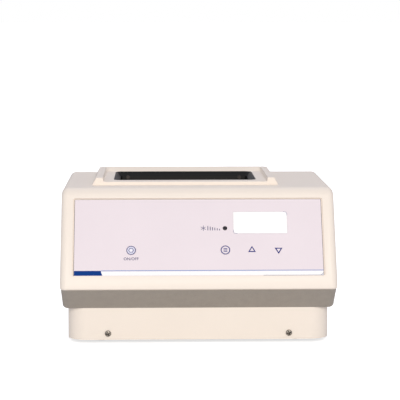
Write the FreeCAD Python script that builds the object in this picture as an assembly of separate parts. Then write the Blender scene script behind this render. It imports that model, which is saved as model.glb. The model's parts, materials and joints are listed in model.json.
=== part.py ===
import FreeCAD, Part
import math
import os

# Dry block heater with a double block well, in millimetres.
# X runs to the right, Y to the back and Z up. The origin is on the floor under the middle.

V = FreeCAD.Vector
right = V(1, 0, 0)
back = V(0, 1, 0)
up = V(0, 0, 1)

# Overall form
width = 295.0
depth = 246.0
base_height = 34.7
skirt_height = 23.0
lip_height = 9.4
front_rise = 93.8
slope_angle = 29.0
wall = 3.0
fit_gap = 0.25

# Rounding of the upper housing
brow_radius = 16.0
rear_radius = 8.0
side_radius = 7.0
lip_edge = 1.2

# Skirt and base under the upper housing
skirt_inset = 0.8
skirt_taper = 1.0
skirt_radius = 6.0
skirt_corner = 8.0
undercut = 22.7
base_side_inset = 6.8
base_rear_inset = 8.0
base_corner = 20.0
flange_width = 18.0

# Chassis, feet and case screws
pan_thickness = 1.5
pan_flange = 16.0
foot_height = 4.0
foot_radius = 9.0
foot_bevel = 0.8
foot_floor = 1.0
foot_head_height = 1.6
foot_side = 35.3
foot_inset = 27.0
screw_radius = 2.0
head_radius = 3.4
head_height = 2.0
hole_gap = 0.1
base_screw_side = 43.3
base_screw_rise = 7.0
post_radius = 5.0
post_inset = 14.0
post_screw_length = 18.0

# Collar round the well
well_x = -13.0
collar_half = 98.3
collar_flare = 4.4
collar_front = 82.9
collar_back = 214.8
collar_wall = 7.2
platform_height = 3.6
collar_height = 8.1
collar_corner = 7.0
collar_low_corner = 5.0
collar_front_corner = 0.6
back_wall_slope = 6.0
side_wall_slope = 0.8

# Well
rim_width = 158.3
rim_depth = 97.7
rim_front = 102.5
rim_flange = 1.0
rim_proud = 0.2
rim_overlap = 1.2
rim_skirt = 17.0
rim_lip = 4.2
rim_fall = 5.0
rim_corner = 7.0
well_depth = 47.5
well_rib = 8.0
rib_thickness = 4.0
rim_screw_x = 65.0
rim_screw_drop = 6.4
rim_screw_radius = 1.5
rim_head_radius = 2.6
rim_head_height = 1.2
well_sheet = 1.2
plate_thickness = 6.0
plate_inset = 5.0
foam_thickness = 8.0

# Cooling stack under the well
module_side = 40.0
module_height = 3.8
module_x = 38.0
module_y = 21.5
sink_width = 156.0
sink_depth = 94.0
sink_base = 8.0
fin_height = 30.0
fin_pitch = 7.5
fin_thickness = 1.8
fin_columns = 9
post_pitch_x = 72.5
post_pitch_y = 40.0
sink_post_radius = 4.0
fan_side = 92.0
fan_height = 25.0
fan_bore = 44.0
fan_hole_pitch = 41.25
fan_corner = 4.0
fan_flange = 4.0
barrel_wall = 1.5
arm_width = 4.0
hub_radius = 18.0
blade_count = 7
blade_chord = 17.0
tip_chord = 25.0
blade_pitch = 33.0
blade_thickness = 1.6
tip_gap = 2.0
shaft_radius = 1.5
hub_bevel = 1.5
running_gap = 0.05
hub_gap = 0.5
hub_top_gap = 1.0
vent_width = 5.0
vent_pitch = 9.0
vent_radius = 42.0

# Front panel, measured up the slope from the top of the lip
panel_width = 268.8
panel_length = 89.0
panel_start = 6.3
panel_recess = 1.8
overlay_thickness = 1.0
overlay_side_gap = 1.3
overlay_low_gap = 0.3
overlay_top_gap = 1.0
panel_corner = 2.0
film_corner = 1.0
key_row = 29.2
power_key_x = -72.0
set_key_x = 28.6
up_key_x = 57.0
down_key_x = 85.4
key_radius = 5.2
arrow_width = 8.2
arrow_height = 6.8
key_proud = 0.25
key_plate = 0.65
key_travel = 0.5
key_gap = 0.15
stem_radius = 1.9
lamp_x = 28.6
lamp_row = 54.3
lamp_radius = 2.35
display_x = 66.6
display_row = 60.7
display_width = 58.2
display_height = 25.2
display_corner = 1.5
window_ledge = 2.0
digit_count = 4
digit_gap = 0.6
digit_groove = 0.5
board_drop = 13.5
board_left = -84.0
board_right = 100.0
board_low = 17.0
board_high = 87.0
board_hole_inset = 4.0
board_thickness = 1.6
boss_radius = 3.0
small_screw = 1.2
small_head = 2.4
switch_side = 6.0
switch_height = 4.0
plunger_height = 1.0
plunger_radius = 1.75

# Electronics on the chassis
board_gap = 1.5
control_width = 28.0
control_length = 116.0
control_y = 10.0
spacer_height = 8.0
spacer_radius = 3.0
relay_width = 14.0
relay_length = 16.0
relay_height = 12.0
relay_pitch = 20.0
chip_side = 12.0
chip_height = 2.0
can_radius = 5.0
can_height = 14.0
supply_gap = 2.3
supply_width = 40.0
supply_length = 110.0
supply_y = -5.0
supply_height = 36.0
transformer_width = 28.0
transformer_length = 32.0
transformer_height = 20.0
capacitor_radius = 9.0
capacitor_height = 22.0
choke_radius = 7.0
choke_height = 18.0

# Mains inlet at the back
inlet_side = 49.5
inlet_z = 95.0
inlet_flange = 2.0
inlet_flange_width = 50.0
inlet_flange_height = 40.0
inlet_body_width = 30.0
inlet_body_height = 34.0
inlet_body_depth = 25.0
mouth_width = 24.4
mouth_height = 16.6
mouth_depth = 16.0
mouth_rise = 6.0
mouth_bevel = 4.15
pin_width = 2.0
pin_height = 4.0
pin_length = 13.0
pin_pitch = 7.0
pin_tail = 6.0
drawer_width = 24.0
drawer_height = 8.0
drawer_depth = 15.0
drawer_drop = 10.5
drawer_plate = 1.5
drawer_gap = 0.3
grip_width = 9.6
grip_height = 2.0
fuse_radius = 2.5
fuse_length = 20.0
inlet_screw_pitch = 20.0

# Louvres in the back wall
louvre_count = 9
louvre_pitch = 8.0
louvre_height = 3.0
louvre_length = 60.0
louvre_x = -60.0
louvre_z = 76.0

# Levels and edges that follow from the sizes above
half = width / 2
front_y = -depth / 2
rear_y = depth / 2 - inlet_flange
base_z = foot_height
base_top = base_z + base_height
lip_z = base_top + skirt_height
lip_top = lip_z + lip_height
top_z = lip_top + front_rise
platform_z = top_z + platform_height
collar_z = top_z + collar_height
tilt = math.radians(slope_angle)
pan_top = base_z + pan_thickness

base_half = half - base_side_inset
base_front = front_y + undercut
base_rear = rear_y - base_rear_inset
post_x = base_half - post_inset + wall
post_front = base_front + post_inset
post_rear = base_rear - post_inset
foot_x = base_half - foot_side
base_screw_x = base_half - base_screw_side
foot_front = base_front + foot_inset
foot_rear = base_rear - foot_inset

well_y = front_y + rim_front + rim_depth / 2
floor_z = platform_z - well_depth
sheet_z = floor_z - plate_thickness - well_sheet
sink_top = sheet_z - module_height
fin_top = sink_top - sink_base
fin_low = fin_top - fin_height
fan_low = fin_low - fan_height

overlay_face = overlay_thickness - panel_recess
board_face = -board_drop
panel_mid = panel_start + panel_length / 2
keys_at = panel_start + key_row
lamp_at = panel_start + lamp_row
display_at = panel_start + display_row
inlet_x = half - inlet_side
inlet_back = rear_y + inlet_flange

pan_inner = base_half - wall - fit_gap - pan_thickness
control_x = -pan_inner + board_gap + control_width / 2
supply_x = base_half - flange_width - supply_gap - supply_width / 2

# An arrow key's stem stands at the centre of the largest circle in the triangle.
arrow_side = math.hypot(arrow_height, arrow_width / 2)
arrow_circle = arrow_width * arrow_height / (arrow_width + 2 * arrow_side)
keys = (power_key_x, set_key_x, up_key_x, down_key_x)


def area(x, y, half_x, half_y):
    return (x - half_x, x + half_x, y - half_y, y + half_y)


def grown(limits, margin):
    x0, x1, y0, y1 = limits
    return (x0 - margin, x1 + margin, y0 - margin, y1 + margin)


def outline(limits, z, radius, bevelled=False):
    x0, x1, y0, y1 = limits
    centres = (
        (x1 - radius, y1 - radius),
        (x0 + radius, y1 - radius),
        (x0 + radius, y0 + radius),
        (x1 - radius, y0 + radius),
    )
    corners = []
    for quarter, (cx, cy) in enumerate(centres):
        turns = [math.radians(90 * quarter + step) for step in (0, 45, 90)]
        corners.append([V(cx + radius * math.cos(t), cy + radius * math.sin(t), z) for t in turns])
    edges = []
    for index, corner in enumerate(corners):
        following = corners[(index + 1) % 4]
        edges.append(Part.makeLine(corner[0], corner[2]) if bevelled else Part.Arc(*corner).toShape())
        edges.append(Part.makeLine(corner[2], following[0]))
    return Part.Wire(edges)


def prism(limits, low, high, radius, bevelled=False):
    return Part.Face(outline(limits, low, radius, bevelled)).extrude(V(0, 0, high - low))


def block(limits, low, high):
    x0, x1, y0, y1 = limits
    return Part.makeBox(x1 - x0, y1 - y0, high - low, V(x0, y0, low))


def funnel(low_limits, low, low_radius, high_limits, high, high_radius, bevelled=False):
    wires = [outline(low_limits, low, low_radius, bevelled), outline(high_limits, high, high_radius, bevelled)]
    return Part.makeLoft(wires, True, True)


def rod(x, y, low, high, radius):
    return Part.makeCylinder(radius, high - low, V(x, y, low), up)


def facets_along_y(x, z, near, far, radius):
    bar = facets(0, 0, 0, far - near, radius)
    bar.Placement = FreeCAD.Placement(V(x, near, z), FreeCAD.Rotation(up, back))
    return bar


def polygon(points, push):
    return Part.Face(Part.makePolygon(points + points[:1])).extrude(push)


def facets(x, y, low, high, radius, sides=8):
    turns = [2 * math.pi * (number + 0.5) / sides for number in range(sides)]
    points = [V(x + radius * math.cos(turn), y + radius * math.sin(turn), low) for turn in turns]
    return polygon(points, V(0, 0, high - low))


def edges_where(shape, test):
    return [edge for edge in shape.Edges if test(edge)]


def on_slope(shape):
    # Drawn flat with Y up the slope and Z out of it, then set on the sloped front.
    placed = shape.copy()
    placed.Placement = FreeCAD.Placement(V(0, front_y, lip_top), FreeCAD.Rotation(right, 90 - slope_angle))
    return placed


def save(node, shape):
    solids = shape.Solids
    good = all(solid.isValid() for solid in solids)
    print(node, "solids", len(solids), "valid", good, "volume", round(shape.Volume, 1))
    shape.exportStep("parts/" + node + ".step")


# Upper housing

def housing_body(inset, low):
    # The outside is rounded along its sides. The inside, set in by a wall, is bevelled there.
    front = front_y + inset
    rear = rear_y - inset
    top = top_z - inset
    knee = lip_top - inset * math.tan(tilt / 2)
    brow = front_y + (inset + (top - lip_top) * math.sin(tilt)) / math.cos(tilt)
    brow_round = brow_radius - inset
    rear_round = rear_radius - inset
    bend = math.radians(90 - slope_angle)
    reach = brow_round * math.tan(bend / 2)
    rise = V(0, math.sin(tilt), math.cos(tilt))
    corner = V(0, brow, top)
    slope_end = corner - rise * reach
    centre = corner + V(0, reach, -brow_round)
    middle = centre - (centre - corner).normalize() * brow_round
    quarter = math.sqrt(0.5)
    low_front = V(0, front, low)
    lip_end = V(0, front, knee)
    top_start = V(0, brow + reach, top)
    top_end = V(0, rear - rear_round, top)
    rear_middle = V(0, rear - rear_round * (1 - quarter), top - rear_round * (1 - quarter))
    rear_start = V(0, rear, top - rear_round)
    rear_end = V(0, rear, low)
    edges = [Part.makeLine(low_front, lip_end)]
    edges.append(Part.makeLine(lip_end, slope_end))
    edges.append(Part.Arc(slope_end, middle, top_start).toShape())
    edges.append(Part.makeLine(top_start, top_end))
    edges.append(Part.Arc(top_end, rear_middle, rear_start).toShape())
    edges.append(Part.makeLine(rear_start, rear_end))
    edges.append(Part.makeLine(rear_end, low_front))
    reach_x = half - inset
    face = Part.Face(Part.Wire(edges))
    face.translate(V(-reach_x, 0, 0))
    body = face.extrude(V(2 * reach_x, 0, 0))

    def on_side(edge):
        box = edge.BoundBox
        return box.XLength < 1e-6 and box.ZMax > low + 1e-3

    side_edges = edges_where(body, on_side)
    if inset:
        return body.makeChamfer(side_radius - inset, side_edges)
    return body.makeFillet(side_radius, side_edges)


def collar():
    # The block flares out towards its foot on three sides. Its front is cut upright, with tight corners.
    flare = collar_flare * (collar_height + wall) / collar_height
    front = front_y + collar_front
    top_area = (well_x - collar_half, well_x + collar_half, front - 2 * collar_corner, front_y + collar_back)
    foot_area = grown(top_area, flare)
    ring = funnel(foot_area, top_z - wall, collar_corner + flare, top_area, collar_z, collar_corner)
    ring = ring.cut(block((foot_area[0], foot_area[1], foot_area[2], front), top_z - wall, collar_z))

    def at_front(edge):
        box = edge.BoundBox
        return box.YMax < front + 1e-3 and box.ZLength > wall

    ring = ring.makeFillet(collar_front_corner, edges_where(ring, at_front))
    inner_x = collar_half - collar_wall
    open_front = front - 2 * collar_corner
    inner_back = front_y + collar_back - collar_wall
    high_area = (well_x - inner_x, well_x + inner_x, open_front, inner_back)
    low_area = (high_area[0] + side_wall_slope, high_area[1] - side_wall_slope, open_front,
                inner_back - back_wall_slope)
    hollow = funnel(low_area, platform_z, collar_low_corner, high_area, collar_z, collar_corner)
    return ring.cut(hollow)


def rim_area(margin):
    return area(well_x, well_y, rim_width / 2 + margin, rim_depth / 2 + margin)


well_hole = rim_area(-rim_overlap)
rim_sleeve = rim_area(-rim_overlap - fit_gap)
rim_inside = rim_area(-rim_overlap - fit_gap - rim_lip)


def well_ribs():
    low = top_z - wall - well_rib
    ring = prism(grown(well_hole, rib_thickness), low, platform_z, rim_corner, True)
    return ring.common(block(grown(well_hole, rib_thickness), low, top_z - wall + fit_gap))


def case_posts(top):
    posts = []
    for x in (-post_x, post_x):
        for y in (post_front, post_rear):
            post = facets(x, y, base_top + wall, top, post_radius)
            hole = facets(x, y, base_top, base_top + post_screw_length, screw_radius + hole_gap)
            posts.append(post.cut(hole))
    return posts


def board_holes():
    near = board_low + board_hole_inset
    far = board_high - board_hole_inset
    left = board_left + board_hole_inset
    right_side = board_right - board_hole_inset
    middle = (power_key_x + set_key_x) / 2
    return [(x, y) for x in (left, middle, right_side) for y in (near, far)]


def board_bosses():
    bosses = []
    for x, y in board_holes():
        boss = facets(x, y, board_face, -panel_recess, boss_radius)
        bosses.append(on_slope(boss.cut(facets(x, y, board_face, -wall, small_screw + hole_gap))))
    return bosses


def panel_cuts():
    recess = prism(area(0, panel_mid, panel_width / 2, panel_length / 2), -panel_recess, wall, panel_corner)
    through = -2 * wall
    window = area(display_x, display_at, display_width / 2 - window_ledge, display_height / 2 - window_ledge)
    cuts = [recess, prism(window, through, 0, display_corner)]
    cuts.append(facets(lamp_x, lamp_at, through, 0, lamp_radius + fit_gap, 18))
    for x in keys:
        cuts.append(facets(x, keys_at, through, 0, stem_radius + key_gap))
    return [on_slope(cut) for cut in cuts]


def rear_cuts():
    cuts = []
    for row in range(louvre_count):
        z = louvre_z + row * louvre_pitch
        slot = area(louvre_x, rear_y, louvre_length / 2, 2 * wall)
        cuts.append(block(slot, z, z + louvre_height))
    body = area(inlet_x, rear_y, inlet_body_width / 2 + fit_gap, 2 * wall)
    high = inlet_z + inlet_body_height / 2 + fit_gap
    cuts.append(block(body, inlet_z - inlet_body_height / 2 - fit_gap, high))
    for x in (inlet_x - inlet_screw_pitch, inlet_x + inlet_screw_pitch):
        cuts.append(facets_along_y(x, inlet_z, rear_y - 2 * wall, rear_y, rim_screw_radius + hole_gap))
    return cuts


def rim_screw_places():
    sides = ((rim_inside[2], 1), (rim_inside[3], -1))
    return [(well_x + x, y, inward) for x in (-rim_screw_x, rim_screw_x) for y, inward in sides]


def rim_screw_holes(reach):
    z = platform_z - rim_screw_drop
    holes = []
    for x, y, inward in rim_screw_places():
        ends = sorted((y + inward, y - inward * reach))
        holes.append(facets_along_y(x, z, ends[0], ends[1], rim_screw_radius + hole_gap))
    return holes


def upper_housing():
    outer = housing_body(0, lip_z)
    outer = outer.makeChamfer(lip_edge, edges_where(outer, lambda edge: edge.BoundBox.ZMax < lip_z + 1e-3))
    inner = housing_body(wall, lip_z - wall)
    shell = outer.cut(inner).fuse([collar(), well_ribs()])
    inside = outer.fuse(block(area(0, 0, half - side_radius, rear_y - side_radius), base_top, lip_z + wall))
    bosses = [post.common(inside) for post in case_posts(top_z - wall)] + board_bosses()
    shell = shell.fuse(bosses)
    shell = shell.cut(panel_cuts() + rear_cuts() + rim_screw_holes(rim_lip + rib_thickness + 1))
    rebate = prism(rim_area(fit_gap), platform_z - rim_flange + rim_proud, platform_z, rim_corner + rim_overlap)
    return shell.cut([rebate, prism(well_hole, top_z - 3 * well_rib, platform_z, rim_corner)])


# Skirt and base

def skirt_body(inset, low):
    top_area = (-half + skirt_inset, half - skirt_inset, front_y + skirt_inset, rear_y - skirt_inset)
    low_area = (-half + skirt_inset + skirt_taper, half - skirt_inset - skirt_taper, base_front,
                rear_y - skirt_inset - skirt_taper)
    body = funnel(grown(low_area, -inset), low, skirt_corner - inset, grown(top_area, -inset), lip_z,
                  skirt_corner - inset, inset > 0)
    side = half - skirt_inset - inset
    limit = block((-side, side, 2 * front_y, rear_y - inset), low, lip_z)

    def at_bottom(edge):
        box = edge.BoundBox
        return box.ZMax < low + 1e-6 and box.YMax > 0

    low_edges = edges_where(limit, at_bottom)
    if inset:
        return body.common(limit.makeChamfer(skirt_radius - inset, low_edges))
    return body.common(limit.makeFillet(skirt_radius, low_edges))


def flange_opening(low, high):
    limits = (-base_half + flange_width, base_half - flange_width, base_front + flange_width,
              base_rear - flange_width)
    return prism(limits, low, high, base_corner, True)


def post_holes(low, high):
    spots = [(x, y) for x in (-post_x, post_x) for y in (post_front, post_rear)]
    return [facets(x, y, low, high, screw_radius + hole_gap) for x, y in spots]


def lower_skirt():
    outer = skirt_body(0, base_top)
    inner = skirt_body(wall, base_top + wall)
    return outer.cut([inner, flange_opening(base_top, lip_z)] + post_holes(base_top, base_top + 2 * wall))


base_area = (-base_half, base_half, base_front, base_rear)


def base_screw_places():
    z = base_z + base_screw_rise
    return [(x, y, z, inward) for x in (-base_screw_x, base_screw_x)
            for y, inward in ((base_front, 1), (base_rear, -1))]


def base_screw_holes():
    holes = []
    for x, y, z, inward in base_screw_places():
        ends = sorted((y - inward, y + inward * 3 * wall))
        holes.append(facets_along_y(x, z, ends[0], ends[1], screw_radius + hole_gap))
    return holes


def base_shell():
    outer = prism(base_area, base_z, base_top, base_corner)
    inner = prism(grown(base_area, -wall), base_z, base_top - wall, base_corner - wall)
    cuts = [inner, flange_opening(base_z, base_top)] + post_holes(base_top - wall, base_top)
    return outer.cut(cuts + base_screw_holes())


def chassis_pan():
    limits = grown(base_area, -wall - fit_gap)
    corner = base_corner - wall - fit_gap
    tray = prism(limits, base_z, base_z + pan_flange, corner, True)
    inside = grown(limits, -pan_thickness)
    tray = tray.cut(prism(inside, pan_top, base_z + pan_flange, corner - pan_thickness, True))
    cuts = base_screw_holes() + pan_holes()
    rows = int(vent_radius // vent_pitch)
    for row in range(-rows, rows + 1):
        reach = math.sqrt(vent_radius ** 2 - (row * vent_pitch) ** 2)
        slot = area(well_x, well_y + row * vent_pitch, reach, vent_width / 2)
        cuts.append(block(slot, base_z, pan_top))
    return tray.cut(cuts)


def foot_places():
    return [(x, y) for x in (-foot_x, foot_x) for y in (foot_front, foot_rear)]


def pan_holes():
    return [facets(x, y, base_z, pan_top, screw_radius + hole_gap) for x, y in foot_places()]


def rubber_feet():
    feet = []
    for x, y in foot_places():
        foot = facets(x, y, 0, foot_height, foot_radius, 18)
        foot = foot.makeChamfer(foot_bevel, edges_where(foot, lambda edge: edge.BoundBox.ZMax < 1e-6))
        bore = facets(x, y, 0, foot_height, screw_radius + hole_gap)
        pocket = facets(x, y, 0, foot_height - foot_floor, head_radius + 2 * fit_gap, 6)
        feet.append(foot.cut([bore, pocket]))
    return Part.makeCompound(feet)


def pan_head(height, radius):
    # A short cylinder with a bevelled crown.
    head = facets(0, 0, -height, 0, radius, 14)
    crown = edges_where(head, lambda edge: edge.BoundBox.ZMax < -height / 2)
    return head.makeChamfer(0.4 * height, crown)


def screw_up(x, y, z, length, radius, head, height):
    # Hidden screws have hexagon heads.
    shank = facets(x, y, z, z + length, radius)
    return facets(x, y, z - height, z, head, 6).fuse(shank)


def foot_screws():
    z = foot_height - foot_floor
    return Part.makeCompound([screw_up(x, y, z, 3 * head_height, screw_radius, head_radius, foot_head_height)
                              for x, y in foot_places()])


def screw_in(x, y, z, inward, length, radius, head, height):
    screw = pan_head(height, head).fuse(facets(0, 0, 0, length, radius))
    turn = FreeCAD.Rotation(up, back * inward)
    screw.Placement = FreeCAD.Placement(V(x, y, z), turn)
    return screw


def base_screws():
    return Part.makeCompound([screw_in(x, y, z, inward, 3 * wall, screw_radius, head_radius, head_height)
                              for x, y, z, inward in base_screw_places()])


def cover_screws():
    z = base_top - wall
    spots = [(x, y) for x in (-post_x, post_x) for y in (post_front, post_rear)]
    return Part.makeCompound([screw_up(x, y, z, post_screw_length - wall, screw_radius, head_radius, head_height)
                              for x, y in spots])


# Well

def well_rim():
    sleeve_low = platform_z - rim_skirt
    top = platform_z + rim_proud
    flange = prism(rim_area(0), top - rim_flange, top, rim_corner + rim_overlap)
    sleeve = prism(rim_sleeve, sleeve_low, top - rim_flange, rim_corner - fit_gap)
    inner_corner = rim_corner - fit_gap - rim_lip
    mouth = rim_area(-rim_overlap)
    slope = funnel(rim_inside, top - rim_fall, inner_corner, mouth, top, rim_corner)
    throat = prism(rim_inside, sleeve_low, top, inner_corner)
    return flange.fuse(sleeve).cut([throat, slope] + rim_screw_holes(rim_lip + 1))


def rim_screws():
    z = platform_z - rim_screw_drop
    length = rim_lip + rib_thickness
    return Part.makeCompound([screw_in(x, y, z, -inward, length, rim_screw_radius, rim_head_radius,
                                       rim_head_height) for x, y, inward in rim_screw_places()])


pan_inside = grown(rim_sleeve, fit_gap)
pan_outside = grown(pan_inside, well_sheet)
sheet_top = top_z - wall - well_rib - fit_gap


def well_pan():
    outer = prism(pan_outside, sheet_z, sheet_top, rim_corner + well_sheet)
    return outer.cut(prism(pan_inside, sheet_z + well_sheet, sheet_top, rim_corner))


def heating_plate():
    limits = grown(pan_inside, -plate_inset)
    return prism(limits, sheet_z + well_sheet, floor_z, rim_corner)


def well_insulation():
    inner = grown(pan_outside, fit_gap)
    corner = rim_corner + well_sheet + fit_gap
    outer = prism(grown(inner, foam_thickness), sheet_z, sheet_top, corner + foam_thickness, True)
    return outer.cut(prism(inner, sheet_z, sheet_top, corner))


def peltier_modules():
    modules = []
    for x in (-module_x, module_x):
        for y in (-module_y, module_y):
            spot = area(well_x + x, well_y + y, module_side / 2, module_side / 2)
            modules.append(block(spot, sink_top, sheet_z))
    return Part.makeCompound(modules)


def sink_corners():
    return [(well_x + x, well_y + y) for x in (-post_pitch_x, post_pitch_x) for y in (-post_pitch_y, post_pitch_y)]


def heat_sink():
    plate = block(area(well_x, well_y, sink_width / 2, sink_depth / 2), fin_top, sink_top)
    fins = []
    for column in range(-fin_columns, fin_columns + 1):
        spot = area(well_x + column * fin_pitch, well_y, fin_thickness / 2, sink_depth / 2)
        if abs(column * fin_pitch) + sink_post_radius + fin_thickness > post_pitch_x:
            spot = area(well_x + column * fin_pitch, well_y, fin_thickness / 2, post_pitch_y - 2 * sink_post_radius)
        fins.append(block(spot, fin_low, fin_top + fit_gap))
    holes = [facets(x, y, fin_top, sink_top, screw_radius + hole_gap) for x, y in sink_corners()]
    return plate.fuse(fins).cut(holes).removeSplitter()


def sink_posts():
    posts = []
    for x, y in sink_corners():
        hole = facets(x, y, fin_top - 3 * sink_base, fin_top, screw_radius + hole_gap)
        posts.append(facets(x, y, pan_top, fin_top, sink_post_radius, 6).cut(hole))
    return Part.makeCompound(posts)


def sink_screws():
    screws = []
    for x, y in sink_corners():
        screw = screw_up(0, 0, 0, 2 * sink_base, screw_radius, head_radius, head_height)
        screw.Placement = FreeCAD.Placement(V(x, y, sink_top), FreeCAD.Rotation(right, 180))
        screws.append(screw)
    return Part.makeCompound(screws)


def fan_corners():
    return [(well_x + x, well_y + y) for x in (-fan_hole_pitch, fan_hole_pitch)
            for y in (-fan_hole_pitch, fan_hole_pitch)]


def fan_frame():
    square = area(well_x, well_y, fan_side / 2, fan_side / 2)
    low_plate = prism(square, fan_low, fan_low + fan_flange, fan_corner, True)
    high_plate = prism(square, fin_low - fan_flange, fin_low, fan_corner, True)
    barrel = facets(well_x, well_y, fan_low, fin_low, fan_bore + barrel_wall, 24)
    bore = facets(well_x, well_y, fan_low, fin_low, fan_bore, 24)
    frame = low_plate.fuse([high_plate, barrel]).cut(bore)
    motor = facets(well_x, well_y, fan_low, fan_low + fan_flange, hub_radius, 18)
    arms = []
    for quarter in range(4):
        spot = (hub_radius - barrel_wall, fan_bore + barrel_wall / 2, -arm_width / 2, arm_width / 2)
        arm = block(spot, fan_low, fan_low + fan_flange)
        arm.rotate(V(0, 0, 0), up, 45 + 90 * quarter)
        arm.translate(V(well_x, well_y, 0))
        arms.append(arm)
    frame = frame.fuse([motor] + arms)
    cuts = [facets(x, y, fan_low, fin_low, screw_radius + fit_gap) for x, y in fan_corners()]
    cuts.append(rod(well_x, well_y, fan_low, fin_low, shaft_radius + running_gap))
    return frame.cut(cuts)


def blade_section(radius, chord, turn, thickness):
    along = V(0, math.cos(turn), math.sin(turn)) * (chord / 2)
    across = V(0, -math.sin(turn), math.cos(turn)) * (thickness / 2)
    centre = V(radius, 0, 0)
    bow = across * 2
    points = [centre - along - across, centre - across + bow, centre + along - across,
              centre + along, centre + across + bow, centre - along]
    return Part.makePolygon(points + points[:1])


def fan_rotor():
    low = fan_low + fan_flange + hub_gap
    high = fin_low - hub_top_gap
    hub = facets(0, 0, low, high, hub_radius, 18)
    hub = hub.makeChamfer(hub_bevel, edges_where(hub, lambda edge: edge.BoundBox.ZMin > high - 1e-6))
    root = blade_section(hub_radius - hub_bevel, blade_chord, math.radians(blade_pitch), blade_thickness)
    tip = blade_section(fan_bore - tip_gap, tip_chord, math.radians(blade_pitch), blade_thickness)
    blade = Part.makeLoft([root, tip], True, True)
    blade.translate(V(0, 0, (low + high) / 2))
    blades = []
    for number in range(blade_count):
        copy = blade.copy()
        copy.rotate(V(0, 0, 0), up, 360 * number / blade_count)
        blades.append(copy)
    shaft = facets(0, 0, fan_low + hub_gap, low + hub_gap, shaft_radius)
    rotor = hub.fuse([shaft] + blades)
    rotor.translate(V(well_x, well_y, 0))
    return rotor


def fan_screws():
    return Part.makeCompound([screw_up(x, y, fan_low, fan_height + 2 * fan_flange, screw_radius, head_radius,
                                       head_height) for x, y in fan_corners()])


def temperature_sensor():
    radius = module_height / 2
    return facets_along_y(well_x, sheet_z - radius, well_y - module_y, well_y + module_y, radius)


def thermal_cutout():
    z = (fin_top + sink_top) / 2
    front = well_y - sink_depth / 2
    return facets_along_y(well_x, z, front - sink_base, front, sink_base / 2)


# Front panel

def key_cap(x, margin):
    # Round keys are discs. Arrow keys are triangles that point up or down.
    if x in (power_key_x, set_key_x):
        return Part.Wire(Part.makeCircle(key_radius + margin, V(x, keys_at, 0)))
    sign = 1 if x == up_key_x else -1
    growth = 1 + margin / arrow_circle
    wide = growth * arrow_width / 2
    foot = keys_at - sign * growth * arrow_circle
    tip = foot + sign * growth * arrow_height
    points = [V(x - wide, foot, 0), V(x + wide, foot, 0), V(x, tip, 0)]
    return Part.makePolygon(points + points[:1])


def key_blank(x, margin, low, high):
    blank = Part.Face(key_cap(x, margin)).extrude(V(0, 0, high - low))
    blank.translate(V(0, 0, low))
    return blank


def overlay_panel():
    side = panel_width / 2 - overlay_side_gap
    limits = (-side, side, panel_start + overlay_low_gap, panel_start + panel_length - overlay_top_gap)
    film = prism(limits, -panel_recess, overlay_face, film_corner)
    window = area(display_x, display_at, display_width / 2, display_height / 2)
    cuts = [prism(window, -panel_recess, overlay_face, display_corner)]
    cuts.append(facets(lamp_x, lamp_at, -panel_recess, overlay_face, lamp_radius + key_gap, 18))
    for x in keys:
        cuts.append(key_blank(x, key_gap, -panel_recess, overlay_face))
    return on_slope(film.cut(cuts))


def display_window():
    limits = grown(area(display_x, display_at, display_width / 2, display_height / 2), -key_gap)
    return on_slope(prism(limits, -panel_recess, overlay_face, display_corner - key_gap))


def key(x):
    face = overlay_face + key_proud
    cap = key_blank(x, 0, face - key_plate, face)
    end = board_face + switch_height + plunger_height + key_travel + key_gap
    stem = facets(x, keys_at, end, face - key_plate, stem_radius)
    return on_slope(cap.fuse(stem))


def key_switches():
    switches = []
    top = board_face + switch_height
    for x in keys:
        body = block(area(x, keys_at, switch_side / 2, switch_side / 2), board_face, top)
        switches.append(on_slope(body.fuse(facets(x, keys_at, top, top + plunger_height, plunger_radius))))
    return Part.makeCompound(switches)


def display_board():
    limits = (board_left, board_right, board_low, board_high)
    sheet = prism(limits, board_face - board_thickness, board_face, panel_corner)
    holes = [facets(x, y, board_face - board_thickness, board_face, small_screw + hole_gap)
             for x, y in board_holes()]
    return on_slope(sheet.cut(holes))


def board_screws():
    low = board_face - board_thickness
    return Part.makeCompound([on_slope(screw_up(x, y, low, board_drop / 2, small_screw, small_head, head_height))
                              for x, y in board_holes()])


def display_module():
    inset = window_ledge + fit_gap
    limits = area(display_x, display_at, display_width / 2 - inset, display_height / 2 - inset)
    face = -wall - fit_gap
    case = block(limits, board_face, face)
    pitch = (limits[1] - limits[0]) / digit_count
    grooves = []
    for number in range(1, digit_count):
        x = limits[0] + number * pitch
        grooves.append(block(area(x, display_at, digit_gap / 2, display_height), face - digit_groove, 0))
    return on_slope(case.cut(grooves))


def cooling_lamp():
    face = overlay_face + key_proud
    lens = facets(lamp_x, lamp_at, board_face, face, lamp_radius, 18)
    crown = edges_where(lens, lambda edge: edge.BoundBox.ZMin > face - 1e-6)
    return on_slope(lens.makeChamfer(0.4 * lamp_radius, crown))


# Electronics

def control_corners():
    x_reach = control_width / 2 - 2 * spacer_radius
    y_reach = control_length / 2 - 2 * spacer_radius
    return [(control_x + x, control_y + y) for x in (-x_reach, x_reach) for y in (-y_reach, y_reach)]


def board_spacers():
    spacers = []
    for x, y in control_corners():
        hole = facets(x, y, pan_top, pan_top + spacer_height, small_screw + hole_gap)
        spacers.append(facets(x, y, pan_top, pan_top + spacer_height, spacer_radius, 6).cut(hole))
    return Part.makeCompound(spacers)


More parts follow.
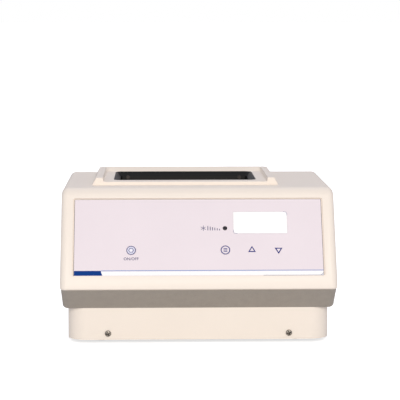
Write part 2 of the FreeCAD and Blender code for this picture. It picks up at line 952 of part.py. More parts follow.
def control_board():
    low = pan_top + spacer_height
    top = low + board_thickness
    board = block(area(control_x, control_y, control_width / 2, control_length / 2), low, top)
    parts = []
    for place in (-1, 0):
        spot = area(control_x, control_y + (place - 0.5) * relay_pitch, relay_width / 2, relay_length / 2)
        parts.append(block(spot, top, top + relay_height))
    parts.append(block(area(control_x, control_y + relay_pitch / 2, chip_side / 2, chip_side / 2), top,
                       top + chip_height))
    parts.append(rod(control_x, control_y + 1.5 * relay_pitch, top, top + can_height, can_radius))
    holes = [facets(x, y, low, top, small_screw + hole_gap) for x, y in control_corners()]
    return board.fuse(parts).cut(holes)


def spacer_screws():
    screws = []
    for x, y in control_corners():
        screw = screw_up(0, 0, 0, spacer_height, small_screw, small_head, head_height)
        top = pan_top + spacer_height + board_thickness
        screw.Placement = FreeCAD.Placement(V(x, y, top), FreeCAD.Rotation(right, 180))
        screws.append(screw)
    return Part.makeCompound(screws)


def power_supply():
    # An angle of sheet steel carries the supply's board, with its transformer, capacitor and choke.
    limits = area(supply_x, supply_y, supply_width / 2, supply_length / 2)
    x0, x1, y0, y1 = limits
    tray = block(limits, pan_top, pan_top + pan_thickness)
    side = block((x0, x0 + pan_thickness, y0, y1), pan_top, pan_top + supply_height)
    board_low_z = pan_top + pan_thickness + spacer_height
    board_top = board_low_z + board_thickness
    board = block((x0 + pan_thickness, x1, y0, y1), board_low_z, board_top)
    parts = [side, board]
    for y in (y0 + 2 * spacer_radius, y1 - 2 * spacer_radius):
        parts.append(facets(x1 - 2 * spacer_radius, y, pan_top + pan_thickness, board_low_z, spacer_radius, 6))
    middle = supply_x + pan_thickness / 2
    spot = area(middle, supply_y, transformer_width / 2, transformer_length / 2)
    parts.append(block(spot, board_top, board_top + transformer_height))
    parts.append(rod(middle, y0 + 2 * capacitor_radius, board_top, board_top + capacitor_height, capacitor_radius))
    parts.append(rod(middle, y1 - 2 * choke_radius, board_top, board_top + choke_height, choke_radius))
    return tray.fuse(parts).removeSplitter()


# Mains inlet

def inlet_box(half_x, low, high, near, far):
    return block((inlet_x - half_x, inlet_x + half_x, near, far), inlet_z + low, inlet_z + high)


drawer_mid = inlet_z - drawer_drop
mouth_mid = inlet_z + mouth_rise


def inlet_socket():
    half_w = inlet_body_width / 2
    half_h = inlet_body_height / 2
    body = inlet_box(half_w, -half_h, half_h, rear_y - inlet_body_depth, rear_y)
    flange = inlet_box(inlet_flange_width / 2, -inlet_flange_height / 2, inlet_flange_height / 2, rear_y,
                       inlet_back)
    mouth = block((inlet_x - mouth_width / 2, inlet_x + mouth_width / 2, inlet_back - mouth_depth, inlet_back),
                  mouth_mid - mouth_height / 2, mouth_mid + mouth_height / 2)
    lower_corners = edges_where(mouth, lambda edge: edge.BoundBox.YLength > 1 and edge.BoundBox.ZMax < mouth_mid)
    mouth = mouth.makeChamfer(mouth_bevel, lower_corners)
    slot_w = drawer_width / 2 + drawer_gap
    slot_h = drawer_height / 2 + drawer_gap
    slot = block((inlet_x - slot_w, inlet_x + slot_w, inlet_back - drawer_depth - drawer_gap, inlet_back),
                 drawer_mid - slot_h, drawer_mid + slot_h)
    cuts = [mouth, slot]
    for x in (inlet_x - inlet_screw_pitch, inlet_x + inlet_screw_pitch):
        cuts.append(facets_along_y(x, inlet_z, rear_y, inlet_back, rim_screw_radius + hole_gap))
        cuts.append(Part.makeCone(rim_screw_radius + hole_gap, rim_head_radius + hole_gap, rim_head_height,
                                  V(x, inlet_back - rim_head_height, inlet_z), back))
    for x, z in pin_places():
        near = rear_y - inlet_body_depth
        cuts.append(block(area(x, 0, pin_width / 2, 2 * depth), z - pin_height / 2, z + pin_height / 2).common(
            inlet_box(half_w, -half_h, half_h, near, inlet_back - mouth_depth)))
    return body.fuse(flange).cut(cuts).removeSplitter()


def pin_places():
    low = mouth_mid - pin_height / 2
    return [(inlet_x - pin_pitch, low), (inlet_x, low + pin_height), (inlet_x + pin_pitch, low)]


def inlet_pins():
    tip = inlet_back - mouth_depth + pin_length
    tail = rear_y - inlet_body_depth - pin_tail
    pins = []
    for x, z in pin_places():
        spot = (x - pin_width / 2, x + pin_width / 2, tail, tip)
        pins.append(block(spot, z - pin_height / 2, z + pin_height / 2))
    return Part.makeCompound(pins)


def fuse_drawer():
    near = inlet_back - drawer_depth
    tray = block((inlet_x - drawer_width / 2, inlet_x + drawer_width / 2, near, inlet_back),
                 drawer_mid - drawer_height / 2, drawer_mid + drawer_height / 2)
    pocket_y = near + drawer_depth / 2
    pocket = block(area(inlet_x, pocket_y, fuse_length / 2 + fit_gap, fuse_radius + fit_gap),
                   drawer_mid - fuse_radius - fit_gap, drawer_mid + drawer_height)
    grip = block(area(inlet_x, inlet_back, grip_width / 2, drawer_plate / 2), drawer_mid - grip_height / 2,
                 drawer_mid + grip_height / 2)
    return tray.cut([pocket, grip])


def fuse():
    y = inlet_back - drawer_depth / 2
    start = V(inlet_x - fuse_length / 2, y, drawer_mid)
    return Part.makeCylinder(fuse_radius, fuse_length, start, right)


def inlet_screws():
    screws = []
    for x in (inlet_x - inlet_screw_pitch, inlet_x + inlet_screw_pitch):
        shank = facets_along_y(x, inlet_z, rear_y - 2 * wall, inlet_back - rim_head_height, rim_screw_radius)
        head = Part.makeCone(rim_screw_radius, rim_head_radius, rim_head_height,
                             V(x, inlet_back - rim_head_height, inlet_z), back)
        screws.append(shank.fuse(head))
    return Part.makeCompound(screws)


os.makedirs("parts", exist_ok=True)

nodes = {
    "upper_housing": upper_housing(),
    "lower_skirt": lower_skirt(),
    "base_shell": base_shell(),
    "chassis_pan": chassis_pan(),
    "base_screws": base_screws(),
    "cover_screws": cover_screws(),
    "rubber_feet": rubber_feet(),
    "foot_screws": foot_screws(),
    "overlay_panel": overlay_panel(),
    "display_window": display_window(),
    "display_module": display_module(),
    "cooling_lamp": cooling_lamp(),
    "power_key": key(power_key_x),
    "set_key": key(set_key_x),
    "up_key": key(up_key_x),
    "down_key": key(down_key_x),
    "key_switches": key_switches(),
    "display_board": display_board(),
    "board_screws": board_screws(),
    "well_rim": well_rim(),
    "rim_screws": rim_screws(),
    "well_pan": well_pan(),
    "heating_plate": heating_plate(),
    "well_insulation": well_insulation(),
    "peltier_modules": peltier_modules(),
    "heat_sink": heat_sink(),
    "sink_posts": sink_posts(),
    "sink_screws": sink_screws(),
    "fan_frame": fan_frame(),
    "fan_rotor": fan_rotor(),
    "fan_screws": fan_screws(),
    "temperature_sensor": temperature_sensor(),
    "thermal_cutout": thermal_cutout(),
    "control_board": control_board(),
    "board_spacers": board_spacers(),
    "spacer_screws": spacer_screws(),
    "power_supply": power_supply(),
    "inlet_socket": inlet_socket(),
    "inlet_pins": inlet_pins(),
    "fuse_drawer": fuse_drawer(),
    "fuse": fuse(),
    "inlet_screws": inlet_screws(),
}

for node, shape in nodes.items():
    save(node, shape)
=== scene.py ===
import json
import math

import bmesh
import bpy
import numpy as np
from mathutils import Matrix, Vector


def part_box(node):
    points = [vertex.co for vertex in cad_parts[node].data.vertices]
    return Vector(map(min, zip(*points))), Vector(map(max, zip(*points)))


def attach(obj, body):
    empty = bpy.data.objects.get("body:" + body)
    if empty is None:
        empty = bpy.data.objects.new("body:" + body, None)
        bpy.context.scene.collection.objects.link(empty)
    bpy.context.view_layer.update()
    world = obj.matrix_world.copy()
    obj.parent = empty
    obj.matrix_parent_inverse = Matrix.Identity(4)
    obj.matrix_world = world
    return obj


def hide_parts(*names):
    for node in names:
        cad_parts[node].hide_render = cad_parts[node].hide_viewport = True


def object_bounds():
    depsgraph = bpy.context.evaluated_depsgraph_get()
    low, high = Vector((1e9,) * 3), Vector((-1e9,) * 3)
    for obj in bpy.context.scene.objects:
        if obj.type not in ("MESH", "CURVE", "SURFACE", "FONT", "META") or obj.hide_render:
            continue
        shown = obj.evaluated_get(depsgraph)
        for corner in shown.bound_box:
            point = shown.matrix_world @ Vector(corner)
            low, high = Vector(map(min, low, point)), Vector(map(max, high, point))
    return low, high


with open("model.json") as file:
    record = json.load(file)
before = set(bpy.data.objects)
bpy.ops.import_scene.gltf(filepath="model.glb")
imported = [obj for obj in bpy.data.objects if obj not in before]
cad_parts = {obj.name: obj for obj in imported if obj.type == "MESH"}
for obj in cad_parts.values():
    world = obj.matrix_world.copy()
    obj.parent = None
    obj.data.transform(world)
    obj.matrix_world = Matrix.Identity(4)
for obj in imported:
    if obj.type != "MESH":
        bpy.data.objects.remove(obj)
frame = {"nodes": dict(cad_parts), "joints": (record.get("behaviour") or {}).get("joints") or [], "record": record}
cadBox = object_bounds()
record = frame["record"]
nodes = frame["nodes"]
slotOf = {part["node"]: part["material_slot"] for part in record["subparts"]}
bodyOf = {node: body for body, members in record["behaviour"]["bodies"].items() for node in members}
print("frame loaded:", len(nodes), "nodes")


def linkMesh(name, points, faces, smooth=True):
    mesh = bpy.data.meshes.new(name)
    mesh.from_pydata(np.asarray(points).reshape(-1, 3).tolist(), [], [list(face) for face in faces])
    mesh.validate()
    piece = bpy.data.objects.new(name, mesh)
    bpy.context.scene.collection.objects.link(piece)
    mesh.polygons.foreach_set("use_smooth", [smooth] * len(mesh.polygons))
    return piece


def gridFaces(rows, columns, closedRows=False, closedColumns=False):
    # Quads between neighbouring rows and columns, with the last joined to the first where it is closed.
    r = np.arange(rows if closedRows else rows - 1)
    c = np.arange(columns if closedColumns else columns - 1)
    r, c = np.meshgrid(r, c, indexing="ij")
    nextR, nextC = (r + 1) % rows, (c + 1) % columns
    quads = np.stack([r * columns + c, nextR * columns + c, nextR * columns + nextC, r * columns + nextC], -1)
    return quads.reshape(-1, 4)


mergeGap = dict(made=1e-7, loaded=2e-6)  # corners nearer than this are one


def outward(piece):
    # Merges the corners and turns every face to the outside.
    tool = bmesh.new()
    tool.from_mesh(piece.data)
    bmesh.ops.remove_doubles(tool, verts=tool.verts, dist=mergeGap["made"])
    bmesh.ops.recalc_face_normals(tool, faces=tool.faces)
    tool.to_mesh(piece.data)
    tool.free()
    return piece


def finishPiece(piece, body, material, replaced=(), smoothAngle=None):
    piece.data.materials.clear()
    piece.data.materials.append(material)
    if smoothAngle is not None:
        piece.data.set_sharp_from_angle(angle=math.radians(smoothAngle))
    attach(piece, body)
    if replaced:
        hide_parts(*replaced)
    return piece


def smoothCopy(node, material, sharpAngle=32):
    # A merged copy of a solid's mesh, so that its rounded edges shade as one surface.
    mesh = nodes[node].data.copy()
    piece = bpy.data.objects.new(node + "_surface", mesh)
    bpy.context.scene.collection.objects.link(piece)
    tool = bmesh.new()
    tool.from_mesh(mesh)
    bmesh.ops.remove_doubles(tool, verts=tool.verts, dist=mergeGap["loaded"])
    tool.to_mesh(mesh)
    tool.free()
    mesh.polygons.foreach_set("use_smooth", [True] * len(mesh.polygons))
    stored = mesh.attributes.get("custom_normal")  # the loaded normals don't fit the merged corners
    if stored:
        mesh.attributes.remove(stored)
    finishPiece(piece, bodyOf[node], material, [node], sharpAngle)
    weights = piece.modifiers.new("flatFacesLead", "WEIGHTED_NORMAL")  # flat faces stay flat
    weights.keep_sharp = True
    return piece


def addNode(tree, kind, **values):
    node = tree.nodes.new(kind)
    for name, value in values.items():
        setattr(node, name, value)
    return node


grainShape = dict(low=0.3, high=0.7, slowDetail=3, fineDetail=2, middle=0.5, octaveFade=0.55)


def noiseNode(tree, coordinates, scaleSocket, detail):
    noise = addNode(tree, "ShaderNodeTexNoise")
    noise.inputs["Detail"].default_value = detail
    noise.inputs["Roughness"].default_value = grainShape["octaveFade"]
    tree.links.new(coordinates, noise.inputs["Vector"])
    tree.links.new(scaleSocket, noise.inputs["Scale"])
    return noise


def mapRange(tree, source, low, high, toLow, toHigh):
    # Takes low..high to toLow..toHigh, each a number or a socket.
    node = addNode(tree, "ShaderNodeMapRange")
    tree.links.new(source, node.inputs["Value"])
    for name, value in (("From Min", low), ("From Max", high), ("To Min", toLow), ("To Max", toHigh)):
        if isinstance(value, (int, float)):
            node.inputs[name].default_value = value
        else:
            tree.links.new(value, node.inputs[name])
    return node.outputs["Result"]


def mathNode(tree, operation, first, second):
    node = addNode(tree, "ShaderNodeMath", operation=operation)
    for index, value in enumerate((first, second)):
        if isinstance(value, (int, float)):
            node.inputs[index].default_value = value
        else:
            tree.links.new(value, node.inputs[index])
    return node.outputs[0]


def mixColour(tree, factor, first, second, blend):
    node = addNode(tree, "ShaderNodeMix", data_type="RGBA", blend_type=blend)
    for index, value in ((0, factor), (6, first), (7, second)):
        if isinstance(value, (int, float, tuple)):
            node.inputs[index].default_value = value
        else:
            tree.links.new(value, node.inputs[index])
    return node.outputs[2]


plainLook = dict(colour=(0.8, 0.8, 0.8, 1.0), mottle=0.02, mottleScale=18.0, pebbleScale=1500.0,
                 roughness=0.5, swing=0.1, bump=0.25, bumpDistance=0.0001, metallic=0.0, coat=0.0,
                 specular=0.5)
grainSockets = {"Base": "colour", "Mottle": "mottle", "Mottle Scale": "mottleScale",
                "Pebble Scale": "pebbleScale", "Roughness": "roughness", "Swing": "swing"}


def buildGrain():
    # Slow mottling of colour, a fine pebble for the bump, and a swing of roughness.
    group = bpy.data.node_groups.new("surfaceGrain", "ShaderNodeTree")
    for name, value in grainSockets.items():
        kind = "NodeSocketColor" if name == "Base" else "NodeSocketFloat"
        socket = group.interface.new_socket(name, in_out="INPUT", socket_type=kind)
        socket.default_value = plainLook[value]
    for name in ("Color", "Roughness", "Height"):
        kind = "NodeSocketColor" if name == "Color" else "NodeSocketFloat"
        group.interface.new_socket(name, in_out="OUTPUT", socket_type=kind)
    inside = addNode(group, "NodeGroupInput")
    outside = addNode(group, "NodeGroupOutput")
    place = addNode(group, "ShaderNodeTexCoord").outputs["Object"]
    slow = noiseNode(group, place, inside.outputs["Mottle Scale"], grainShape["slowDetail"])
    fine = noiseNode(group, place, inside.outputs["Pebble Scale"], grainShape["fineDetail"])
    darker = mathNode(group, "SUBTRACT", 1.0, inside.outputs["Mottle"])
    shade = mapRange(group, slow.outputs["Fac"], grainShape["low"], grainShape["high"], darker, 1.0)
    speck = mapRange(group, fine.outputs["Fac"], grainShape["low"], grainShape["high"], darker, 1.0)
    grey = addNode(group, "ShaderNodeCombineColor")
    both = mathNode(group, "MULTIPLY", shade, speck)
    for name in ("Red", "Green", "Blue"):
        group.links.new(both, grey.inputs[name])
    colour = mixColour(group, 1.0, inside.outputs["Base"], grey.outputs["Color"], "MULTIPLY")
    group.links.new(colour, outside.inputs["Color"])
    around = mathNode(group, "SUBTRACT", slow.outputs["Fac"], grainShape["middle"])
    swing = mathNode(group, "MULTIPLY", inside.outputs["Swing"], around)
    group.links.new(mathNode(group, "ADD", inside.outputs["Roughness"], swing), outside.inputs["Roughness"])
    group.links.new(fine.outputs["Fac"], outside.inputs["Height"])
    return group


grain = buildGrain()


def srgb(red, green, blue):
    # Screen values 0..255 to linear light.
    values = np.array([red, green, blue]) / 255
    linear = np.where(values <= 0.04045, values / 12.92, ((values + 0.055) / 1.055) ** 2.4)
    return (*linear.tolist(), 1.0)


def grainedMaterial(name, look):
    # What a look leaves out comes from plainLook.
    look = plainLook | look
    material = bpy.data.materials.new(name)
    material.use_nodes = True
    tree = material.node_tree
    shader = tree.nodes["Principled BSDF"]
    field = addNode(tree, "ShaderNodeGroup", node_tree=grain)
    for socket, value in grainSockets.items():
        field.inputs[socket].default_value = look[value]
    tree.links.new(field.outputs["Color"], shader.inputs["Base Color"])
    tree.links.new(field.outputs["Roughness"], shader.inputs["Roughness"])
    bump = addNode(tree, "ShaderNodeBump")
    bump.inputs["Strength"].default_value = look["bump"]
    bump.inputs["Distance"].default_value = look["bumpDistance"]
    tree.links.new(field.outputs["Height"], bump.inputs["Height"])
    tree.links.new(bump.outputs["Normal"], shader.inputs["Normal"])
    shader.inputs["Metallic"].default_value = look["metallic"]
    shader.inputs["Coat Weight"].default_value = look["coat"]
    shader.inputs["Specular IOR Level"].default_value = look["specular"]
    return material


panelFilm = dict(colour=srgb(234, 224, 229), mottle=0.02, pebbleScale=2600, roughness=0.42, bump=0.12)

finishes = {
    "cream_plastic": dict(colour=srgb(243, 233, 221), mottle=0.012, pebbleScale=1800, roughness=0.48,
                          bump=0.2),
    # painted shade: the skirt faces down under the lip, and its taupe is the cream plastic painted darker to stand
    # in for the shade it lies in
    "taupe_plastic": dict(colour=srgb(167, 159, 149), mottle=0.08, mottleScale=130, pebbleScale=900,
                          roughness=0.62, bump=0.35),
    "zinc_steel": dict(colour=srgb(190, 192, 194), mottle=0.12, mottleScale=90, metallic=1.0, roughness=0.38),
    "screw_steel": dict(colour=srgb(205, 196, 184), mottle=0.5, mottleScale=500, metallic=1.0,
                        roughness=0.34),
    "foot_rubber": dict(colour=srgb(40, 40, 42), mottle=0.1, pebbleScale=2500, roughness=0.85, bump=0.5),
    "overlay_film": panelFilm,
    "window_film": dict(colour=srgb(255, 255, 255), mottle=0.004, roughness=0.16, bump=0.02),
    "module_plastic": dict(colour=srgb(232, 232, 230), mottle=0.03, roughness=0.5),
    "lamp_lens": dict(colour=srgb(34, 28, 32), mottle=0.1, roughness=0.12, coat=0.6, bump=0.02),
    "key_film": panelFilm,
    "switch_plastic": dict(colour=srgb(44, 44, 46), mottle=0.08, roughness=0.5),
    "circuit_board": dict(colour=srgb(38, 104, 62), mottle=0.25, mottleScale=220, roughness=0.35, coat=0.3),
    "black_plastic": dict(colour=srgb(12, 11, 11), mottle=0.2, pebbleScale=1600, roughness=0.5, bump=0.35,
                          specular=0.35),
    "black_aluminium": dict(colour=srgb(40, 39, 40), mottle=0.25, mottleScale=70, roughness=0.5,
                            specular=0.35),
    "bare_aluminium": dict(colour=srgb(208, 210, 212), mottle=0.08, mottleScale=120, metallic=1.0,
                           roughness=0.32),
    "foam": dict(colour=srgb(78, 78, 82), mottle=0.3, mottleScale=500, pebbleScale=900, roughness=0.95,
                 bump=0.9),
    "ceramic": dict(colour=srgb(238, 237, 230), mottle=0.05, roughness=0.55),
    "nylon": dict(colour=srgb(226, 222, 210), mottle=0.05, roughness=0.5),
    "pin_brass": dict(colour=srgb(196, 182, 146), mottle=0.1, metallic=1.0, roughness=0.28),
    "fuse_glass": dict(colour=srgb(206, 214, 214), mottle=0.04, roughness=0.08, coat=0.5),
}

materials = {slot: grainedMaterial(slot, look) for slot, look in finishes.items()}
wellScrew = grainedMaterial("wellScrew", dict(colour=srgb(86, 80, 78), mottle=0.4, mottleScale=500,
                                              metallic=0.8, roughness=0.5))
# painted shade: a dark copy of the screw steel for the bottom of the cross recess
recessShadeSteel = grainedMaterial("recessShadeSteel", dict(colour=srgb(30, 25, 22), mottle=0.3, mottleScale=900,
                                                  metallic=0.6, roughness=0.6))
for node, piece in nodes.items():
    piece.data.materials.clear()
    piece.data.materials.append(wellScrew if node == "rim_screws" else materials[slotOf[node]])

for node in ("upper_housing", "lower_skirt", "base_shell", "well_rim", "rubber_feet"):
    smoothCopy(node, materials[slotOf[node]])
print("nodes dressed")


# The keys are pressed straight into the sloped front, so their axis gives its direction.
pressAxis = next(joint for joint in frame["joints"] if joint["name"] == "power_press")["axis"]
slopeNormal = -Vector(pressAxis).normalized()
slopeUp = Vector((0, slopeNormal.z, -slopeNormal.y))


def panelFrame():
    # The sheet's box is its length and thickness turned by the slope, so both follow from the box's sides.
    low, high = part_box("overlay_panel")
    sine, cosine = slopeUp.y, slopeUp.z
    deep, tall = high.y - low.y, high.z - low.z
    spread = cosine * cosine - sine * sine
    thickness = (deep * cosine - tall * sine) / spread
    length = (tall * cosine - deep * sine) / spread
    origin = Vector((0, low.y, low.z + thickness * slopeNormal.z))
    return origin, low.x, high.x, length


panelOrigin, panelLeft, panelRight, panelLength = panelFrame()


def onPanel(flat, lift):
    # Flat points (across, up the slope) to places in the room, raised by lift.
    flat = np.asarray(flat, float)
    across, upward = flat[..., 0], flat[..., 1]
    lift = np.broadcast_to(lift, across.shape)
    origin, rise, normal = np.array(panelOrigin), np.array(slopeUp), np.array(slopeNormal)
    places = origin + upward[..., None] * rise + lift[..., None] * normal
    places[..., 0] = across
    return places


faceDepth = 0.00002  # corners this near the foremost one belong to the front face


def frontFace(node):
    # The box of the node's front face, across and up the slope, and how far it stands out of the sheet.
    mesh = nodes[node].data
    points = np.zeros(len(mesh.vertices) * 3)
    mesh.vertices.foreach_get("co", points)
    points = points.reshape(-1, 3) - np.array(panelOrigin)
    lift = points @ np.array(slopeNormal)
    face = points[lift > lift.max() - faceDepth]
    flat = np.stack([face[:, 0], face @ np.array(slopeUp)], -1)
    return flat.min(0), flat.max(0), lift.max()


def panelSpot(node):
    low, high, lift = frontFace(node)
    return (low + high) / 2, lift


# Each printed mark is a thin raised layer of ink between two edge curves.
ink = dict(height=0.00003, edge=0.00005, mostEdge=0.3, leastSpan=1e-6)


def inkBetween(name, lowEdge, highEdge, body, material, lift=0.0, closed=False):
    # Across the mark, height is zero at both edges and full just inside them; the underside closes it.
    lowEdge, highEdge = np.asarray(lowEdge, float), np.asarray(highEdge, float)
    span = np.linalg.norm(highEdge - lowEdge, axis=-1, keepdims=True)
    share = np.clip(ink["edge"] / np.maximum(span, ink["leastSpan"]), 0, ink["mostEdge"])
    inset = (highEdge - lowEdge) * share
    across = [lowEdge, lowEdge + inset, highEdge - inset, highEdge]
    lifts = [lift, lift + ink["height"], lift + ink["height"], lift]
    rows = [onPanel(edge, level) for edge, level in zip(across, lifts)]
    points = np.stack(rows, 0)
    count = len(lowEdge)
    faces = gridFaces(4, count, closedRows=True, closedColumns=closed).tolist()
    if not closed:
        faces.append([0, count, 2 * count, 3 * count])
        faces.append([4 * count - 1, 3 * count - 1, 2 * count - 1, count - 1])
    piece = outward(linkMesh(name, points, faces, smooth=False))
    return finishPiece(piece, body, material)


def ringEdges(centre, inner, outer, count=72, sides=0):
    # Two loops round a centre. With sides, the loops are regular polygons with that many sides.
    angle = np.linspace(0, 2 * np.pi, count, endpoint=False)
    stretch = np.ones(count)
    if sides:
        sector = 2 * np.pi / sides
        stretch = np.cos(sector / 2) / np.cos(angle % sector - sector / 2)
    loop = np.stack([np.cos(angle) * stretch, np.sin(angle) * stretch], -1)
    return np.array(centre) + loop * inner, np.array(centre) + loop * outer


def triangleEdges(centre, width, height, line, sign, count=8):
    # An outline between a triangle and its offset inwards by the line width.
    def corners(w, h, shift):
        return np.array([[-w / 2, -h / 2 + shift], [w / 2, -h / 2 + shift], [0, h / 2 + shift]])

    slant = math.hypot(height, width / 2)
    trimTop = line * slant / (width / 2)
    innerHeight = height - line - trimTop
    innerWidth = width * innerHeight / height
    outer = corners(width, height, 0)
    inner = corners(innerWidth, innerHeight, (line - trimTop) / 2)
    steps = np.linspace(0, 1, count, endpoint=False)[:, None]

    def walk(points):
        legs = [points[i] + (points[(i + 1) % 3] - points[i]) * steps for i in range(3)]
        loop = np.concatenate(legs)
        loop[:, 1] *= sign
        return loop + np.array(centre)

    return walk(inner), walk(outer)


def lineEdges(points, width):
    # Two edges half a width to each side of a line through the points.
    points = np.asarray(points, float)
    direction = np.gradient(points, axis=0)
    direction /= np.linalg.norm(direction, axis=1, keepdims=True)
    side = np.stack([-direction[:, 1], direction[:, 0]], -1) * width / 2
    return points - side, points + side


def inkMaterial(name, colour):
    return grainedMaterial(name, dict(colour=colour, mottle=0.05, mottleScale=400, pebbleScale=2600,
                                      roughness=0.6, bump=0.1, specular=0.12))


inks = {
    "blueInk": inkMaterial("blueInk", srgb(0, 58, 134)),
    "skyInk": inkMaterial("skyInk", srgb(96, 138, 204)),
    "whiteInk": inkMaterial("whiteInk", srgb(255, 255, 255)),
    "navyInk": inkMaterial("navyInk", srgb(18, 40, 128)),
    "greyInk": inkMaterial("greyInk", srgb(80, 84, 134)),
    "wordInk": inkMaterial("wordInk", srgb(104, 102, 132)),
    "paleInk": inkMaterial("paleInk", srgb(224, 224, 240)),
    # painted shade of the gap round the sheet, laid as a dark line on the sheet's edge
    "gapShadeInk": inkMaterial("gapShadeInk", srgb(88, 86, 90)),
}

windowCut = dict(radius=0.0026, width=0.00035, reach=0.0016, lift=0.00001, steps=9)


def printWindowCorners():
    # The cut round the window shows as a fine line at its upper right and lower left corners.
    low, high, top = frontFace("display_window")
    radius, reach = windowCut["radius"], windowCut["reach"]
    for name, corner, sign in (("Upper", high, 1), ("Lower", low, -1)):
        centre = corner - sign * radius
        angle = np.linspace(0, np.pi / 2, windowCut["steps"])
        arc = centre + sign * radius * np.stack([np.sin(angle), np.cos(angle)], -1)
        run = np.concatenate([[arc[0] - [sign * reach, 0]], arc, [arc[-1] - [0, sign * reach]]])
        lowEdge, highEdge = lineEdges(run, windowCut["width"])
        inkBetween("windowCut" + name, lowEdge, highEdge, "instrument", inks["greyInk"],
                   top + windowCut["lift"])


stripe = dict(low=0.0004, high=0.0055, blockHigh=0.0059, blockLength=0.0300, slant=0.0018, line=0.0007,
              gap=0.0003, inset=0.0006, whiteHigh=0.0050, edgeStart=0.2010, edgeLine=0.0004,
              cutCorner=0.0024, cornerLift=0.00003, steps=12)


def printStripe():
    # A blue block with a slanted end, a white band, a light blue line over it and a fine edge below it.
    left, right = panelLeft + stripe["inset"], panelRight - stripe["inset"]
    blockEnd = left + stripe["blockLength"]
    low, high, slant = stripe["low"], stripe["high"], stripe["slant"]
    across = np.linspace(0, 1, stripe["steps"])[:, None]

    def run(x0, x1, y):
        return np.array([[x0, y]]) + across * np.array([[x1 - x0, 0]])

    inkBetween("stripeBlock", run(left, blockEnd, low), run(left, blockEnd - slant, stripe["blockHigh"]),
               "instrument", inks["blueInk"])
    start = blockEnd + stripe["gap"]
    inkBetween("stripeWhite", run(start, right, low), run(start - slant, right, stripe["whiteHigh"]),
               "instrument", inks["whiteInk"])
    inkBetween("stripeLine", run(start - slant, right, high),
               run(start - slant, right, high + stripe["line"]), "instrument", inks["skyInk"])
    edge = left + stripe["edgeStart"]
    inkBetween("stripeEdge", run(edge, right, low - stripe["edgeLine"]), run(edge, right, low),
               "instrument", inks["greyInk"])
    cut = stripe["cutCorner"]  # a short diagonal across the sheet's lower right corner
    lowEdge, highEdge = lineEdges(np.array([[right - cut, low]]) + across * cut, stripe["edgeLine"])
    inkBetween("stripeCorner", lowEdge, highEdge, "instrument", inks["greyInk"], stripe["cornerLift"])


# Painted shade: a dark line that stands in for the shaded gap round the sheet.
sheetShadeLine = dict(side=0.00045, top=0.0003, radius=0.0011, lift=0.00001, steps=7)


def paintSheetGapShade():
    # Painted shade: the gap between the sheet and its recess lies in shade, and this paints that shade as a dark
    # line along the sheet's left side, its top and its right side.
    radius = sheetShadeLine["radius"]
    turn = np.linspace(0, np.pi / 2, sheetShadeLine["steps"])

    def path(side, above):
        left, right, top = panelLeft + side, panelRight - side, panelLength - above
        corner = radius - side
        sine, cosine = corner * np.sin(turn), corner * np.cos(turn)
        leftArc = np.stack([left + corner - cosine, top - corner + sine], -1)
        rightArc = np.stack([right - corner + sine, top - corner + cosine], -1)
        return np.concatenate([[[left, 0]], leftArc, rightArc, [[right, 0]]])

    inkBetween("sheetGapShade", path(0, 0), path(sheetShadeLine["side"], sheetShadeLine["top"]), "instrument",
               inks["gapShadeInk"], sheetShadeLine["lift"])


keyMarks = dict(ring=0.0050, ringLine=0.0008, fill=0.0043, innerRing=0.0030, innerLine=0.0007, dot=0.0010,
                pinhole=0.00002, lift=0.00002, triangleWidth=0.0080, triangleHeight=0.0067,
                triangleLine=0.0010, setLine=0.0009, barLength=0.0040, barWidth=0.0008, barPitch=0.0016,
                barSteps=6, signSides=6, dotSteps=36)


def printKeys():
    # Rings on the round keys, a hexagon and a dot on the power key, three bars on the set key, and
    # triangle outlines on the arrow keys. Each mark rides on its key.
    step, pinhole = keyMarks["lift"], keyMarks["pinhole"]
    ring = keyMarks["ring"]
    for node, line, colour in (("power_key", "ringLine", "greyInk"), ("set_key", "setLine", "navyInk")):
        centre, top = panelSpot(node)
        inner, outer = ringEdges(centre, ring - keyMarks[line], ring)
        inkBetween(node + "Ring", inner, outer, bodyOf[node], inks[colour], top + step, closed=True)
    centre, top = panelSpot("power_key")
    inner, outer = ringEdges(centre, pinhole, keyMarks["fill"])
    inkBetween("powerFill", inner, outer, bodyOf["power_key"], inks["paleInk"], top, closed=True)
    small, thin = keyMarks["innerRing"], keyMarks["innerLine"]
    inner, outer = ringEdges(centre, small - thin, small, sides=keyMarks["signSides"])
    inkBetween("powerSign", inner, outer, bodyOf["power_key"], inks["greyInk"], top + step, closed=True)
    inner, outer = ringEdges(centre, pinhole, keyMarks["dot"], count=keyMarks["dotSteps"])
    inkBetween("powerDot", inner, outer, bodyOf["power_key"], inks["whiteInk"], top + 2 * step, closed=True)
    centre, top = panelSpot("set_key")
    for bar in (-1, 0, 1):
        reach = np.linspace(-0.5, 0.5, keyMarks["barSteps"])[:, None] * np.array([[keyMarks["barLength"], 0]])
        level = centre + np.array([0, bar * keyMarks["barPitch"]])
        lowEdge, highEdge = lineEdges(reach + level, keyMarks["barWidth"])
        inkBetween(f"setSign{bar + 1}", lowEdge, highEdge, bodyOf["set_key"], inks["navyInk"], top + step)
    for node, sign in (("up_key", 1), ("down_key", -1)):
        centre, top = panelSpot(node)
        inner, outer = triangleEdges(centre, keyMarks["triangleWidth"], keyMarks["triangleHeight"],
                                     keyMarks["triangleLine"], sign)
        inkBetween(node + "Outline", inner, outer, bodyOf[node], inks["navyInk"], top, closed=True)


wording = dict(text="ON/OFF", size=0.0044, stroke=0.00006, thickness=0.00001, drop=0.0098, lift=0.00003)


